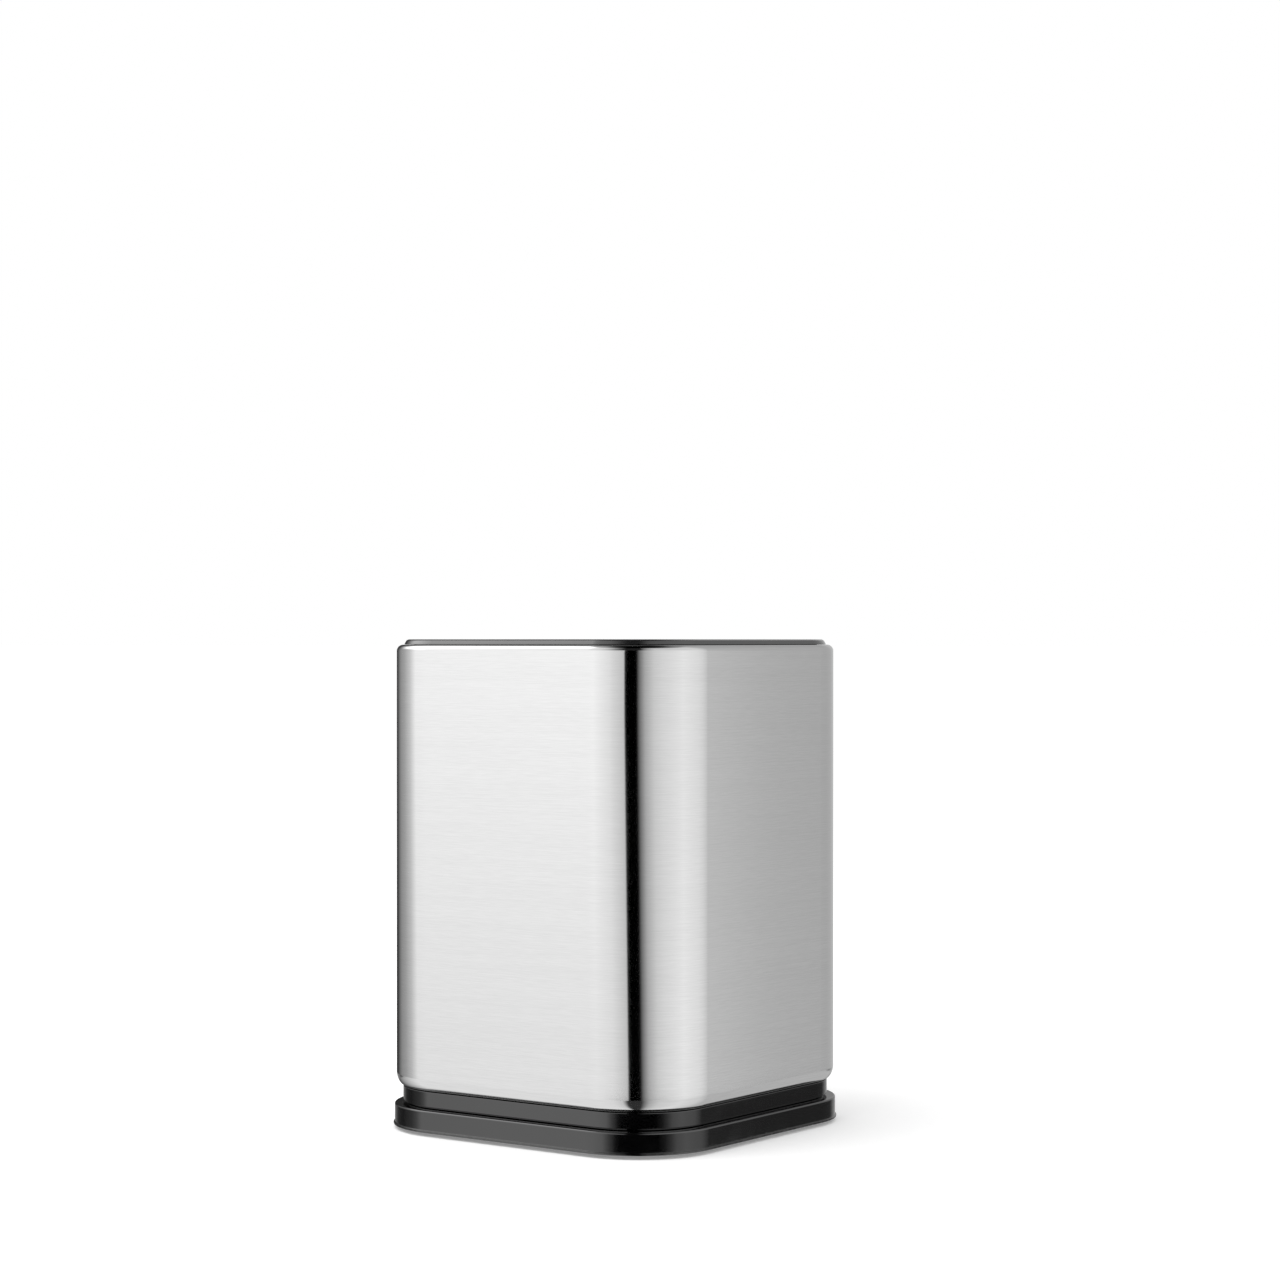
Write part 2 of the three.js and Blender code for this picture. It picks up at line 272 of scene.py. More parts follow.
def roundPoints(points, closed):
    made = []
    count = len(points)
    for i, (inset, z, radius) in enumerate(points):
        here = Vector((inset, z))
        if radius == 0 or (not closed and i in (0, count - 1)):
            made.append(here)
            continue
        before = (Vector(points[i - 1][:2]) - here).normalized()
        after = (Vector(points[(i + 1) % count][:2]) - here).normalized()
        half = before.angle(after) / 2
        middle = here + (before + after).normalized() * radius / math.sin(half)
        start = here + before * radius / math.tan(half) - middle
        end = here + after * radius / math.tan(half) - middle
        bend = math.degrees(math.pi - 2 * half)
        steps = max(making["bendLeast"], round(bend / making["bendStep"]))
        sweep = start.angle_signed(end)
        for step in range(steps + 1):
            angle = -sweep * step / steps
            turned = Vector((start.x * math.cos(angle) - start.y * math.sin(angle),
                             start.x * math.sin(angle) + start.y * math.cos(angle)))
            made.append(middle + turned)
    return made


def profileCurve(name, points, pathInset, closed):
    line = roundPoints(points, closed)
    curve = bpy.data.curves.new(name, "CURVE")
    spline = curve.splines.new("POLY")
    spline.points.add(len(line) - 1)
    for point, place in zip(spline.points, line):
        point.co = ((pathInset - place.x) * mm, -place.y * mm, 0, 1)  # a sweep lays the profile's Y downwards
    spline.use_cyclic_u = closed
    thing = bpy.data.objects.new(name, curve)
    scene.collection.objects.link(thing)
    return thing


outline = {"half": 57.5, "corner": 26.0, "cornerSteps": 36}  # outside face of the steel, seen from above


def pathSizes(inset):
    return {
        "Width": 2 * (outline["half"] - inset) * mm,
        "Corner": (outline["corner"] - inset) * mm,
        "Corner Steps": outline["cornerSteps"],
    }


ringTree = makeRingTree()
dishTree = makeDishTree()
gridTree = makeGridTree()
sidesTree = makeSidesTree()
oneEach = {"Count": 1, "Pitch": 0.0}  # a single shape on each side


# Small shapes that the patterns repeat

def loftStadium(bm, width, length, levels):  # a bar with round ends, grown at each level
    steps = making["stadiumSteps"]
    reach = (length - width) / 2
    rings = []
    for z, extra in levels:
        radius = width / 2 + extra
        ring = []
        for step in range(steps):
            angle = 2 * math.pi * step / steps
            y = radius * math.sin(angle) + (reach if step < steps / 2 else -reach)
            ring.append(bm.verts.new((radius * math.cos(angle) * mm, y * mm, z * mm)))
        rings.append(ring)
    for low, high in zip(rings, rings[1:]):
        for i in range(steps):
            j = (i + 1) % steps
            bm.faces.new((low[i], low[j], high[j], high[i]))
    bm.faces.new(reversed(rings[0]))
    bm.faces.new(rings[-1])


def addBox(bm, low, high, soften=0.0):
    corners = [(x, y, z) for x in (low[0], high[0]) for y in (low[1], high[1]) for z in (low[2], high[2])]
    verts = [bm.verts.new(Vector(corner) * mm) for corner in corners]
    for face in ((0, 1, 3, 2), (4, 6, 7, 5), (0, 4, 5, 1), (2, 3, 7, 6), (0, 2, 6, 4), (1, 5, 7, 3)):
        bm.faces.new([verts[i] for i in face])
    if soften:
        edges = [edge for edge in bm.edges if set(edge.verts) <= set(verts)]
        steps = making["bevelSteps"]
        bmesh.ops.bevel(bm, geom=edges, offset=soften * mm, segments=steps, profile=0.5, affect="EDGES")


def extrudeOutline(bm, points, low, high):  # points are (x, z), drawn out along Y
    ends = [[bm.verts.new((x * mm, y * mm, z * mm)) for x, z in points] for y in (low, high)]
    count = len(points)
    for i in range(count):
        j = (i + 1) % count
        bm.faces.new((ends[0][i], ends[0][j], ends[1][j], ends[1][i]))
    bm.faces.new(ends[0])
    bm.faces.new(reversed(ends[1]))


def turnProfile(bm, points, centre):  # points are (radius, z), turned about a vertical axis
    steps = making["turnSteps"]
    rings = []
    for radius, z in points:
        if radius == 0:
            rings.append([bm.verts.new((centre[0] * mm, centre[1] * mm, z * mm))])
            continue
        ring = []
        for step in range(steps):
            angle = 2 * math.pi * step / steps
            x = centre[0] + radius * math.cos(angle)
            y = centre[1] + radius * math.sin(angle)
            ring.append(bm.verts.new((x * mm, y * mm, z * mm)))
        rings.append(ring)
    pairs = list(zip(rings, rings[1:]))
    if points[0][0] and points[-1][0]:
        pairs.append((rings[-1], rings[0]))
    for low, high in pairs:
        for i in range(steps):
            j = (i + 1) % steps
            corners = [low[i % len(low)], low[j % len(low)], high[j % len(high)], high[i % len(high)]]
            bm.faces.new(list(dict.fromkeys(corners)))


# Finishes

def startFinish(name):
    material = bpy.data.materials.new(name)
    material.use_nodes = True
    material.node_tree.nodes.clear()
    graph = Graph(material.node_tree)
    place = graph.node("ShaderNodeTexCoord", out="Object")
    return material, graph, place


def endFinish(graph, sockets):
    shader = graph.node("ShaderNodeBsdfPrincipled", {}, sockets)
    graph.node("ShaderNodeOutputMaterial", {}, {"Surface": shader})


def noise(graph, place, pattern):  # marks per metre along X, Y and Z, then detail, roughness and shift
    scale, detail, roughness, shift = pattern
    mapped = graph.node("ShaderNodeMapping", {}, {"Vector": place, "Location": shift, "Scale": scale})
    sockets = {"Vector": mapped, "Scale": 1.0, "Detail": detail, "Roughness": roughness}
    return graph.node("ShaderNodeTexNoise", {}, sockets)


def blendColours(graph, amount, first, second):
    return graph.node("ShaderNodeMix", {"data_type": "RGBA"}, {0: amount, 6: first, 7: second}, 2)


def bumps(graph, height, strength, distance):  # distance is in metres
    return graph.node("ShaderNodeBump", {}, {"Strength": strength, "Distance": distance, "Height": height})


steelFinish = {
    "dark": (0.59, 0.59, 0.59, 1), "light": (0.65, 0.65, 0.65, 1),
    "hair": ((160.0, 160.0, 4200.0), 2.0, 0.6, (0.0, 0.0, 0.0)),
    "stroke": ((24.0, 24.0, 2600.0), 2.0, 0.5, (0.9, 2.2, 1.4)),
    "band": ((5.0, 5.0, 320.0), 2.0, 0.5, (3.1, 1.7, 0.4)),
    "cloud": ((21.0, 21.0, 21.0), 3.0, 0.55, (0.3, 5.2, 2.0)),
    "hairRange": (0.25, 0.75), "strokeRange": (0.3, 0.7), "bandRange": (0.3, 0.7), "cloudRange": (0.35, 0.7),
    "hairShare": 0.6, "strokeShare": 0.25, "bandShare": 0.15,
    "roughness": 0.07, "spread": 0.02, "smudge": 0.02, "anisotropic": 0.3, "brushTurn": 0.25,
    "hairDepth": 0.6, "strokeDepth": 0.4, "bump": (0.06, 0.00003),
    # weld line down the middle of the rear face
    "seamWidths": (0.0002, 0.0005), "seamFrom": (0.050, 0.054),
    "seamTint": 0.5, "seamRough": 0.12, "seamDepth": 0.6,
}


def makeSteel():
    f = steelFinish
    material, graph, place = startFinish("brushedSteel")
    hair, stroke, band, cloud = [noise(graph, place, f[name]) for name in ("hair", "stroke", "band", "cloud")]
    where = graph.node("ShaderNodeSeparateXYZ", {}, {0: place})
    rear = where.output("Y").step(*f["seamFrom"])
    seam = (1 - abs(where.output("X")).step(*f["seamWidths"])) * rear
    grain = hair.step(*f["hairRange"]) * f["hairShare"] + stroke.step(*f["strokeRange"]) * f["strokeShare"]
    grain = grain + band.step(*f["bandRange"]) * f["bandShare"]
    colour = blendColours(graph, grain, f["dark"], f["light"])
    colour = blendColours(graph, seam * f["seamTint"], colour, f["dark"])
    roughness = grain * f["spread"] + cloud.step(*f["cloudRange"]) * f["smudge"]
    roughness = roughness + seam * f["seamRough"] + f["roughness"]
    height = hair * f["hairDepth"] + stroke * f["strokeDepth"] - seam * f["seamDepth"]
    normal = bumps(graph, height, *f["bump"])
    endFinish(graph, {"Base Color": colour, "Metallic": 1.0, "Roughness": roughness, "Normal": normal,
                      "Anisotropic": f["anisotropic"], "Anisotropic Rotation": f["brushTurn"]})
    return material


glossFinish = {
    "deep": (0.0012, 0.0012, 0.0013, 1), "worn": (0.007, 0.007, 0.0074, 1), "roughness": 0.045, "ior": 1.9,
    "flow": ((160.0, 160.0, 160.0), 2.0, 0.5, (0.0, 0.0, 0.0)), "flowRange": (0.3, 0.7),
    "flowTint": 0.15, "flowRough": 0.03,
    "peel": ((900.0, 900.0, 900.0), 2.0, 0.5, (1.0, 0.2, 2.3)), "bump": (0.06, 0.00006),
    "rub": ((420.0, 420.0, 2600.0), 2.0, 0.6, (4.0, 1.0, 0.0)), "rubRange": (0.55, 0.8), "rubRough": 0.03,
    # the foot of the tray wears first
    "scuffHeights": (0.0009, 0.0026), "scuffRange": (0.42, 0.66), "scuffTint": 0.7, "scuffRough": 0.25,
}


def makeGloss():
    f = glossFinish
    material, graph, place = startFinish("glossBlack")
    flow, peel, rub = [noise(graph, place, f[name]) for name in ("flow", "peel", "rub")]
    height = graph.node("ShaderNodeSeparateXYZ", {}, {0: place}).output("Z")
    scuff = (1 - height.step(*f["scuffHeights"])) * rub.step(*f["scuffRange"])
    colour = blendColours(graph, scuff * f["scuffTint"] + flow * f["flowTint"], f["deep"], f["worn"])
    roughness = flow.step(*f["flowRange"]) * f["flowRough"] + rub.step(*f["rubRange"]) * f["rubRough"]
    roughness = roughness + scuff * f["scuffRough"] + f["roughness"]
    normal = bumps(graph, peel, *f["bump"])
    endFinish(graph, {"Base Color": colour, "Roughness": roughness, "IOR": f["ior"], "Normal": normal})
    return material


satinFinish = {
    "deep": (0.006, 0.006, 0.0063, 1), "pale": (0.011, 0.011, 0.0115, 1), "roughness": 0.36, "ior": 1.5,
    "spark": ((3200.0, 3200.0, 3200.0), 2.0, 0.6, (0.0, 0.0, 0.0)), "sparkRange": (0.3, 0.7),
    "sparkTint": 0.4, "sparkRough": 0.1, "bump": (0.22, 0.00004),
    "cloud": ((45.0, 45.0, 45.0), 3.0, 0.5, (2.0, 0.6, 1.1)), "cloudRange": (0.3, 0.7),
    "cloudTint": 0.6, "cloudRough": 0.08,
    # the rim is rubbed smooth
    "rimHeights": (0.1530, 0.1537), "rimSmooth": 0.28, "rimLevel": 0.6,
    "rimCoat": 0.7, "coatRoughness": 0.15, "coatIor": 1.7,
}


def makeSatin():
    f = satinFinish
    material, graph, place = startFinish("satinBlack")
    spark, cloud = [noise(graph, place, f[name]) for name in ("spark", "cloud")]
    mottle = cloud.step(*f["cloudRange"]) * f["cloudTint"] + spark * f["sparkTint"]
    colour = blendColours(graph, mottle, f["deep"], f["pale"])
    rim = graph.node("ShaderNodeSeparateXYZ", {}, {0: place}).output("Z").step(*f["rimHeights"])
    roughness = spark.step(*f["sparkRange"]) * f["sparkRough"] + cloud * f["cloudRough"]
    roughness = roughness - rim * f["rimSmooth"] + f["roughness"]
    normal = bumps(graph, spark * (1 - rim * f["rimLevel"]), *f["bump"])
    endFinish(graph, {"Base Color": colour, "Roughness": roughness, "IOR": f["ior"], "Normal": normal,
                      "Coat Weight": rim * f["rimCoat"], "Coat Roughness": f["coatRoughness"],
                      "Coat IOR": f["coatIor"]})
    return material


rubberFinish = {
    "deep": (0.018, 0.018, 0.0185, 1), "dusty": (0.04, 0.04, 0.039, 1), "roughness": 0.72,
    "crumb": ((2400.0, 2400.0, 2400.0), 3.0, 0.6, (0.0, 0.0, 0.0)), "crumbRough": 0.16,
    "dust": ((260.0, 260.0, 260.0), 3.0, 0.6, (0.7, 0.1, 3.0)), "dustRange": (0.45, 0.75),
    "bump": (0.3, 0.00006),
}


def makeRubber():
    f = rubberFinish
    material, graph, place = startFinish("softRubber")
    crumb, dust = [noise(graph, place, f[name]) for name in ("crumb", "dust")]
    colour = blendColours(graph, dust.step(*f["dustRange"]), f["deep"], f["dusty"])
    roughness = crumb * f["crumbRough"] + f["roughness"]
    normal = bumps(graph, crumb, *f["bump"])
    endFinish(graph, {"Base Color": colour, "Roughness": roughness, "Normal": normal})
    return material


steel = makeSteel()
gloss = makeGloss()
satin = makeSatin()
rubber = makeRubber()
print("finishes: steel, gloss, satin, rubber")


# Steel sleeve: one sheet, both edges turned in

sleeve = {
    "bottomLip": (6.5, 13.6), "bottomCurl": (2.6, 4.3), "curlStart": 6.0, "curlSteps": 18,
    "sheet": 0.6, "lipEdge": 0.15,
    "top": [(0, 153.3, 2.0), (5.0, 153.3, 0.15), (5.0, 152.7, 0.15), (0.6, 152.7, 1.4)],
}


def curlPoints(inset, bottom, size):  # part of an oval, from the pressed line down to the turned-in lip
    made = []
    start = math.radians(sleeve["curlStart"])
    for step in range(sleeve["curlSteps"] + 1):
        angle = start + (math.pi / 2 - start) * step / sleeve["curlSteps"]
        inwards = size[0] * (1 - math.cos(angle))
        up = size[1] * (1 - math.sin(angle))
        made.append((inset + inwards, bottom + up, 0))
    return made


def makeSleeve():
    lip, bottom = sleeve["bottomLip"]
    across, up = sleeve["bottomCurl"]
    sheet, edge = sleeve["sheet"], sleeve["lipEdge"]
    outside = curlPoints(0, bottom, (across, up))
    inside = curlPoints(sheet, bottom + sheet, (across - sheet, up - sheet))
    line = outside[0][1]
    outside[0] = (0, line, 0)  # the pressed line lies on the flat side
    points = [(lip, bottom, edge), *reversed(outside), *sleeve["top"], *inside, (lip, bottom + sheet, edge)]
    profile = profileCurve("sleeveProfile", points, 0, True)
    piece = grow("steelSleeve", ringTree, {**pathSizes(0), "Profile": profile, "Material": steel})
    wipe(profile)
    fitPiece(piece, "holder", steel, ["outer_sleeve"], line * mm)


makeSleeve()


# Slotted basket: hangs by its rim, drains through its floor

basket = {
    "floorInset": 14.8, "floorTop": 12.6, "floorBottom": 10.6,
    "profile": [
        (14.8, 12.6, 0), (11.69, 12.6, 3.0), (7.27, 155.0, 0.8), (3.8, 155.0, 0.3), (3.05, 154.65, 0.4),
        (2.4, 153.5, 0.06), (2.5, 153.38, 0.04), (5.5, 153.38, 0.3), (9.89, 10.6, 3.0), (14.8, 10.6, 0),
    ],
    "slot": (3.6, 20.0), "slotEdge": 0.35, "columns": 7, "rows": 3, "columnPitch": 10.5, "rowPitch": 26.0,
    "rib": 1.2, "ribDepth": 1.4, "ribEdge": 0.25,
}


def makeBasket():
    b = basket
    profile = profileCurve("basketProfile", b["profile"], b["floorInset"], False)
    levels = {"Floor Top": b["floorTop"] * mm, "Floor Bottom": b["floorBottom"] * mm}
    values = {**pathSizes(b["floorInset"]), **levels, "Profile": profile, "Material": satin}
    piece = grow("slottedBasket", dishTree, values)
    wipe(profile)

    low, high, edge, spare = b["floorBottom"], b["floorTop"], b["slotEdge"], making["spare"]
    cuts = [(low - spare, edge), (low, edge), (low + edge, 0),
            (high - edge, 0), (high, edge), (high + spare, edge)]
    slot = meshObject("slot", lambda bm: loftStadium(bm, *b["slot"], cuts))
    pitches = {"Column Pitch": b["columnPitch"] * mm, "Row Pitch": b["rowPitch"] * mm, "Material": satin}
    slots = grow("slots", gridTree, {"Columns": b["columns"], "Rows": b["rows"], "Shape": slot, **pitches})
    wipe(slot)
    combine(piece, slots, "DIFFERENCE")

    spanX = ((b["columns"] - 1) * b["columnPitch"] + b["slot"][0]) / 2
    spanY = ((b["rows"] - 1) * b["rowPitch"] + b["slot"][1]) / 2
    bottom, top, half = low - b["ribDepth"], low + spare, b["rib"] / 2
    for name, reach, counts in (
        ("ribsAlong", (half, spanY), (b["columns"] - 1, 1)),
        ("ribsAcross", (spanX, half), (1, b["rows"] - 1)),
    ):
        ends = ((-reach[0], -reach[1], bottom), (reach[0], reach[1], top))
        rib = meshObject("rib", lambda bm: addBox(bm, *ends, b["ribEdge"]))
        ribs = grow(name, gridTree, {"Columns": counts[0], "Rows": counts[1], "Shape": rib, **pitches})
        wipe(rib)
        combine(piece, ribs, "UNION")
    fitPiece(piece, "basket", satin, ["inner_basket"])


makeBasket()


# Base collar: band under the steel, plug with snap hooks inside it, skirt down into the tray

collar = {
    "profile": [
        (2.1, 8.6, 0.2), (2.1, 13.4, 0.2), (6.8, 13.4, 0.3), (6.8, 21.4, 0.3), (8.8, 21.4, 0.3),
        (8.8, 11.4, 0.3), (6.65, 11.4, 0.4), (6.65, 4.9, 0.3), (4.65, 4.9, 0.3), (4.65, 8.1, 0.2),
        (3.4, 8.1, 0.1), (3.4, 8.6, 0.1),
    ],
    "plugInset": 6.8, "wall": 2.0, "hooks": 2, "pitch": 34.0, "hookLength": 9.0,
    "hook": [(-1.0, 14.4), (1.15, 14.4), (1.3, 14.55), (1.3, 14.7), (0.1, 17.4), (-1.0, 17.4)],
    "slit": 1.2, "slitFrom": 13.4, "slitTo": 22.4,
}


def makeCollar():
    c = collar
    profile = profileCurve("collarProfile", c["profile"], 0, True)
    piece = grow("baseCollar", ringTree, {**pathSizes(0), "Profile": profile, "Material": gloss})
    wipe(profile)
    face = outline["half"] - c["plugInset"]
    reach = c["hookLength"] / 2
    spare = making["spare"]
    row = {"Count": c["hooks"], "Pitch": c["pitch"] * mm, "Material": gloss}

    points = [(face + x, z) for x, z in c["hook"]]
    hook = meshObject("hook", lambda bm: extrudeOutline(bm, points, -reach, reach))
    combine(piece, grow("hooks", sidesTree, {"Shape": hook, **row}), "UNION")
    wipe(hook)

    def slitPair(bm):
        for side in (-1, 1):
            y = side * (reach + c["slit"] / 2)
            low = (face - c["wall"] - spare, y - c["slit"] / 2, c["slitFrom"])
            addBox(bm, low, (face + spare, y + c["slit"] / 2, c["slitTo"]))

    slits = meshObject("slitPair", slitPair)
    combine(piece, grow("slits", sidesTree, {"Shape": slits, **row}), "DIFFERENCE")
    wipe(slits)
    fitPiece(piece, "holder", gloss, ["base_collar"])


makeCollar()


# Drip tray: shallow dish with a hollow rim, ribs inside the rim and a socket for each foot

tray = {
    "floorInset": 6.6, "floorTop": 3.4, "floorBottom": 1.6,
    "profile": [
        (6.6, 3.4, 0), (4.3, 3.4, 2.0), (4.3, 7.9, 0.3), (-0.6, 7.9, 0.5), (-0.6, 1.85, 0.15),
        (-1.0, 1.75, 0.12), (-1.0, 1.1, 0.25), (0.8, 1.1, 0.2), (1.2, 6.1, 0.5), (2.5, 6.1, 0.5),
        (2.5, 1.6, 2.0), (6.6, 1.6, 0),
    ],
    "gusset": 1.2, "gussets": 3, "gussetPitch": 21.0, "gussetInsets": (3.1, 0.2), "gussetHeights": (2.6, 6.7),
    "footAt": (33.5, 33.5), "socket": (6.7, 8.1), "socketHeights": (1.0, 1.8), "socketEdge": 0.2,
}


def makeTray():
    t = tray
    profile = profileCurve("trayProfile", t["profile"], t["floorInset"], False)
    levels = {"Floor Top": t["floorTop"] * mm, "Floor Bottom": t["floorBottom"] * mm}
    values = {**pathSizes(t["floorInset"]), **levels, "Profile": profile, "Material": gloss}
    piece = grow("dripTray", dishTree, values)
    wipe(profile)

    half = t["gusset"] / 2
    low = (outline["half"] - t["gussetInsets"][0], -half, t["gussetHeights"][0])
    high = (outline["half"] - t["gussetInsets"][1], half, t["gussetHeights"][1])
    gusset = meshObject("gusset", lambda bm: addBox(bm, low, high))
    row = {"Count": t["gussets"], "Pitch": t["gussetPitch"] * mm, "Material": gloss}
    combine(piece, grow("gussets", sidesTree, {"Shape": gusset, **row}), "UNION")
    wipe(gusset)

    inner, outer = t["socket"]
    bottom, top = t["socketHeights"]
    edge = t["socketEdge"]
    points = [(inner, top), (inner, bottom + edge), (inner + edge, bottom), (outer - edge, bottom),
              (outer, bottom + edge), (outer, top)]
    socket = meshObject("socket", lambda bm: turnProfile(bm, points, t["footAt"]))
    combine(piece, grow("sockets", sidesTree, {**oneEach, "Shape": socket, "Material": gloss}), "UNION")
    wipe(socket)
    fitPiece(piece, "tray", gloss, ["drip_tray"])


makeTray()


# Soft feet: discs with two grip grooves

foot = {
    "profile": [
        (0, 1.4), (6.4, 1.4), (6.5, 1.3), (6.5, 0.45), (6.35, 0.13), (6.05, 0), (4.9, 0), (4.7, 0.25),
        (4.3, 0.25), (4.1, 0), (2.9, 0), (2.7, 0.25), (2.3, 0.25), (2.1, 0), (0, 0),
    ],
}


def makeFeet():
    disc = meshObject("footDisc", lambda bm: turnProfile(bm, foot["profile"], tray["footAt"]))
    piece = grow("softFeet", sidesTree, {**oneEach, "Shape": disc, "Material": rubber})
    wipe(disc)
    nodes = ["foot_front_left", "foot_front_right", "foot_rear_left", "foot_rear_right"]
    fitPiece(piece, "tray", rubber, nodes)


makeFeet()


# Camera: level with the rim, a little to the right of the front corner

camera = {"place": (0.5728, -0.7742, 0.1548), "turn": 36.05, "lens": 84.29, "sensor": 36.0, "farthest": 200.0}


def makeCamera():
    lens = bpy.data.cameras.new("camera")
    lens.lens = camera["lens"]
    lens.sensor_width = camera["sensor"]
    lens.clip_end = camera["farthest"]
    eye = bpy.data.objects.new("camera", lens)
    eye.location = camera["place"]
    eye.rotation_euler = (math.pi / 2, 0, math.radians(camera["turn"]))
    scene.collection.objects.link(eye)
    scene.camera = eye


makeCamera()
print("camera: lens", camera["lens"], "mm, turned", camera["turn"], "degrees")


# Studio: pale floor, white surroundings, one soft lamp above, and panels that only show in reflections

panels = {
    "reach": 0.6, "hole": 0.01, "lowest": -2.0, "highest": 4.5, "azimuthStep": 0.5,
    # rows of points up the wall: first height, step and count
    "rows": [(-1.0, 0.5, 2), (-0.2, 0.0, 1), (-0.14, 0.004, 74), (0.16, 0.03, 40), (2.0, 0.0, 1)],
    "underHeights": (-0.13, -0.1), "wallHeights": (-0.05, 0.14), "upperHeights": (0.25, 0.5),
    "ceilingHeights": (0.95, 1.2), "lidHeights": (1.3, 2.0), "leanFrom": 0.05, "leanRange": (-0.12, 0.07),
    # curves: azimuth from the -Y side towards +X, then a tone, or degrees for each metre of height for lean
    "lean": [(-180, 28.0), (60, 28.0), (110, 0.0), (180, 0.0)],
    "walls": [
        (-180, 0.6), (-156, 0.6), (-147, 0.04), (-111, 0.06), (-103, 0.2), (-94, 0.36), (-82, 0.48),
        (-68, 0.74), (-56, 1.15), (-20, 1.22), (3, 1.12), (14, 0.95), (21.5, 0.83), (22.5, 0.0),
        (37, 0.0), (40, 0.22), (47, 0.62), (58, 0.93), (68, 1.05), (95, 1.25), (120, 1.12), (128, 1.03),
        (136, 0.88), (138.5, 0.8), (140.5, 0.71), (142, 0.65), (145, 0.6), (160, 0.57), (180, 0.57),
    ],
    "rise": [
        (-180, 0.0), (-90, 0.1), (-58, 0.18), (-20, 0.17), (8, 0.0), (90, -0.03), (150, -0.02), (180, 0.0),
    ],
    "under": [
        (-180, 0.6), (-147, 0.1), (-115, 0.1), (-87, 0.6), (-58, 1.12), (-20, 1.12), (4, 1.08), (17, 0.88),
        (23.5, 0.04), (41, 0.04), (45, 0.25), (52, 0.62), (64, 0.9), (95, 1.08), (125, 0.92), (143, 0.66),
        (180, 0.62),
    ],
    "upper": [
        (-180, 0.5), (-160, 0.5), (-150, 0.1), (-120, 0.15), (-104, 1.0), (-92, 2.7), (-54, 2.7), (-49, 2.1),
        (-44, 1.5), (-38, 1.25), (-30, 1.1), (-19, 1.05), (-6, 0.7), (6, 0.25), (16, 0.02), (40, 0.02),
        (50, 0.5), (60, 0.85), (121, 1.0), (133, 0.88), (150, 0.62), (165, 0.55), (180, 0.5),
    ],
    "ceiling": [
        (-180, 0.1), (-150, 0.03), (-128, 0.05), (-105, 0.5), (-57, 0.65), (-30, 0.6), (-10, 0.2), (10, 0.0),
        (40, 0.0), (60, 0.15), (90, 0.25), (165, 0.35), (180, 0.1),
    ],
}

# Low slats close to the base, which the collar and the tray reflect; steeper rays pass through them
slats = {
    "count": 8, "pitch": 0.002, "reach": (0.172, 0.228), "drop": 0.0146, "lift": 0.0044,
    "tones": [
        (-180, 0.6), (-130, 0.5), (-100, 0.3), (-84, 0.08), (-70, 0.05), (-54, 0.2), (-47, 0.42), (-40, 0.91),
        (-28, 1.0), (-8.5, 1.0), (3, 0.88), (10, 0.4), (17, 0.05), (21, 0.0), (56, 0.0), (63, 0.07),
        (69, 0.26), (75, 0.56), (86, 0.7), (108, 0.52), (124, 0.11), (133, 0.09), (155, 0.09), (165, 0.4),
        (180, 0.6),
    ],
    "heights": [
        (-180, -0.0088), (-165, -0.01), (-143, -0.013), (-110, -0.0109), (-83, -0.0074), (-54, -0.0049),
        (-36, -0.0045), (-28, -0.0073), (-20, -0.0096), (1, -0.0072), (36.5, -0.0041), (63, -0.0051),
        (98, -0.0086), (126, -0.0122), (132, -0.0086), (138, -0.0049), (155, -0.0056), (170, -0.0072),
        (180, -0.0088),
    ],
}

stage = {
    "floorSize": 60.0, "floorHeight": -0.0001, "floorLift": 0.22, "floorRoughness": 0.9,
    "floorDark": (0.92, 0.92, 0.92, 1), "floorLight": (0.94, 0.94, 0.94, 1),
    "floorCloud": ((2.0, 2.0, 2.0), 2.0, 0.5, (0.0, 0.0, 0.0)),
    "white": (1, 1, 1, 1), "ambient": 0.85,
    "lampPower": 14.0, "lampSize": 1.6, "lampPlace": (-0.5, -0.7, 1.7),
}


def along(curve, azimuth):
    for (a, first), (b, second) in zip(curve, curve[1:]):
        if a <= azimuth <= b:
            return first + (second - first) * (azimuth - a) / (b - a)


def clamp(value, low, high):
    return min(max(value, low), high)


def ease(value, low, high):
    part = clamp((value - low) / (high - low), 0, 1)
    return part * part * (3 - 2 * part)


def toneAt(azimuth, z):
    p = panels
    leant = azimuth + along(p["lean"], azimuth) * clamp(z - p["leanFrom"], *p["leanRange"])
    leant = (leant + 180) % 360 - 180
    bottom, top = p["wallHeights"]
    height = clamp((z - bottom) / (top - bottom), 0, 1)
    tone = along(p["walls"], leant) * (1 + along(p["rise"], leant) * height)
    tone += (along(p["upper"], azimuth) - tone) * ease(z, *p["upperHeights"])
    tone += (along(p["ceiling"], azimuth) - tone) * ease(z, *p["ceilingHeights"])
    tone *= 1 - ease(z, *p["lidHeights"])
    return tone + (along(p["under"], azimuth) - tone) * (1 - ease(z, *p["underHeights"]))


def makeGlow(name, azimuths, rows, material):  # rows hold reach, height and tone at each azimuth
    verts, faces, tones = [], [], []
    for row in rows:
        for azimuth, (reach, z, tone) in zip(azimuths, row):
            a = math.radians(azimuth)
            verts.append((reach * math.sin(a), -reach * math.cos(a), z))
            tones.append(tone)
    count = len(azimuths)
    for row in range(len(rows) - 1):
        for column in range(count - 1):
            i = row * count + column
            faces.append((i, i + 1, i + count + 1, i + count))
    mesh = bpy.data.meshes.new(name)
    mesh.from_pydata(verts, [], faces)
    mesh.attributes.new("tone", "FLOAT", "POINT").data.foreach_set("value", tones)
    mesh.materials.append(material)
    glow = bpy.data.objects.new(name, mesh)
    scene.collection.objects.link(glow)
    glow.visible_camera = False
    glow.visible_diffuse = False
    glow.visible_shadow = False


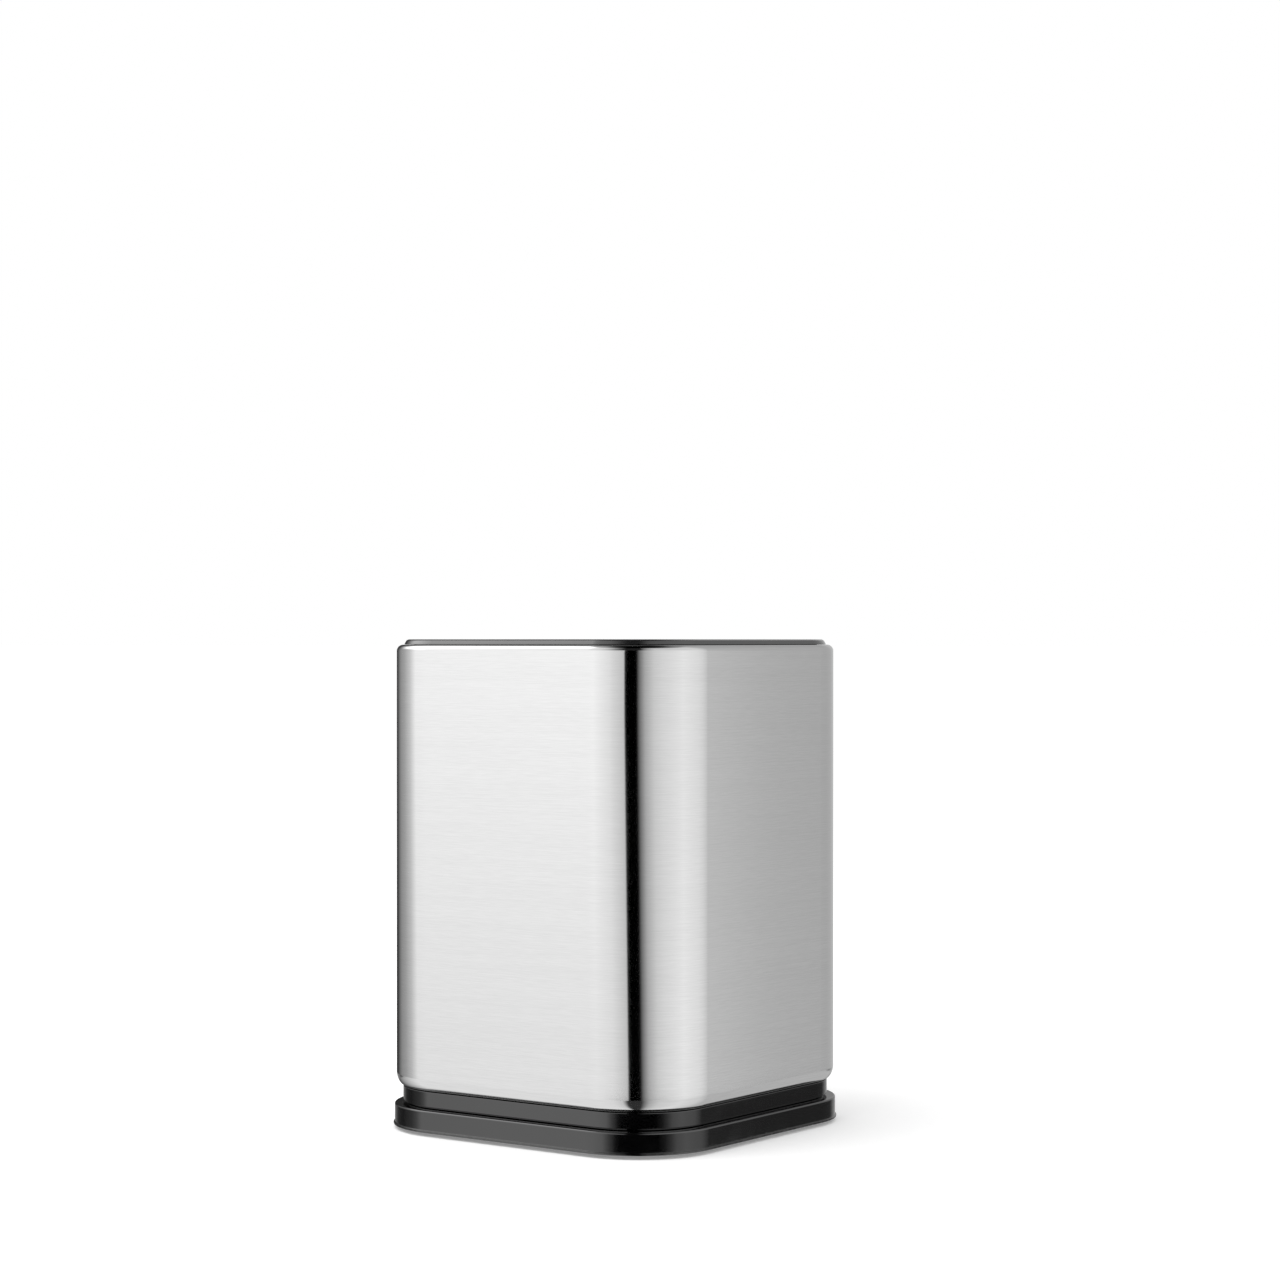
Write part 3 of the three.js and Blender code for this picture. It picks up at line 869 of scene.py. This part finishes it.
def makeGlowFinish():
    material = bpy.data.materials.new("panels")
    material.use_nodes = True
    material.node_tree.nodes.clear()
    material.cycles.emission_sampling = "NONE"
    graph = Graph(material.node_tree)
    tone = graph.node("ShaderNodeAttribute", {"attribute_name": "tone"}, {}, "Fac")
    light = graph.node("ShaderNodeEmission", {}, {"Color": tone})
    clear = graph.node("ShaderNodeBsdfTransparent")
    back = graph.node("ShaderNodeNewGeometry", out="Backfacing")  # the wall's inside, or a slat's underside
    mixed = graph.node("ShaderNodeMixShader", {}, {0: back, 1: clear, 2: light})
    graph.node("ShaderNodeOutputMaterial", {}, {"Surface": mixed})
    return material


def makePanels():
    p = panels
    material = makeGlowFinish()
    azimuths = [-180 + p["azimuthStep"] * i for i in range(round(360 / p["azimuthStep"]) + 1)]
    heights = [start + step * i for start, step, count in p["rows"] for i in range(count)]
    heights = [p["lowest"], *heights, p["highest"]]
    levels = [(p["hole"], p["lowest"]), *((p["reach"], z) for z in heights), (p["hole"], p["highest"])]
    rows = [[(reach, z, toneAt(a, z)) for a in azimuths] for reach, z in levels]
    makeGlow("panels", azimuths, rows, material)

    near, far = slats["reach"]
    edge = [(along(slats["heights"], a), along(slats["tones"], a)) for a in azimuths]
    for i in range(slats["count"]):
        high = slats["lift"] - slats["pitch"] * i
        levels = ((far, high - slats["drop"]), (near, high))
        rows = [[(reach, height + z, tone) for height, tone in edge] for reach, z in levels]
        makeGlow("lowSlat" + str(i), azimuths, rows, material)


def makeFloor():
    size = stage["floorSize"]
    floor = meshObject("floor", lambda bm: bmesh.ops.create_grid(bm, x_segments=1, y_segments=1, size=size))
    material, graph, place = startFinish("paleFloor")
    cloud = noise(graph, place, stage["floorCloud"])
    tint = blendColours(graph, cloud, stage["floorDark"], stage["floorLight"])
    lift = graph.node("ShaderNodeLightPath", out="Is Camera Ray") * stage["floorLift"]
    endFinish(graph, {"Base Color": tint, "Roughness": stage["floorRoughness"], "Specular IOR Level": 0.0,
                      "Emission Color": lift, "Emission Strength": 1.0})
    floor.data.materials.append(material)
    floor.location.z = stage["floorHeight"]
    floor.visible_glossy = False


def makeSurroundings():
    world = bpy.data.worlds.new("surroundings")
    scene.world = world
    world.use_nodes = True
    world.node_tree.nodes.clear()
    graph = Graph(world.node_tree)
    path = graph.node("ShaderNodeLightPath", out="Is Camera Ray")
    seen = path + path.output("Is Glossy Ray") + path.output("Is Transmission Ray")
    light = graph.node("ShaderNodeBackground", {}, {"Color": stage["white"], "Strength": stage["ambient"]})
    plain = graph.node("ShaderNodeBackground", {}, {"Color": stage["white"], "Strength": 1.0})
    mixed = graph.node("ShaderNodeMixShader", {}, {0: seen, 1: light, 2: plain})
    graph.node("ShaderNodeOutputWorld", {}, {"Surface": mixed})


def makeLamp():
    lamp = bpy.data.lights.new("softLamp", "AREA")
    lamp.shape = "DISK"
    lamp.size = stage["lampSize"]
    lamp.energy = stage["lampPower"]
    thing = bpy.data.objects.new("softLamp", lamp)
    thing.location = stage["lampPlace"]
    thing.rotation_euler = (-thing.location).to_track_quat("-Z", "Y").to_euler()
    thing.visible_glossy = False
    scene.collection.objects.link(thing)


makePanels()
makeFloor()
makeSurroundings()
makeLamp()
print("studio: floor, surroundings, lamp, panels")
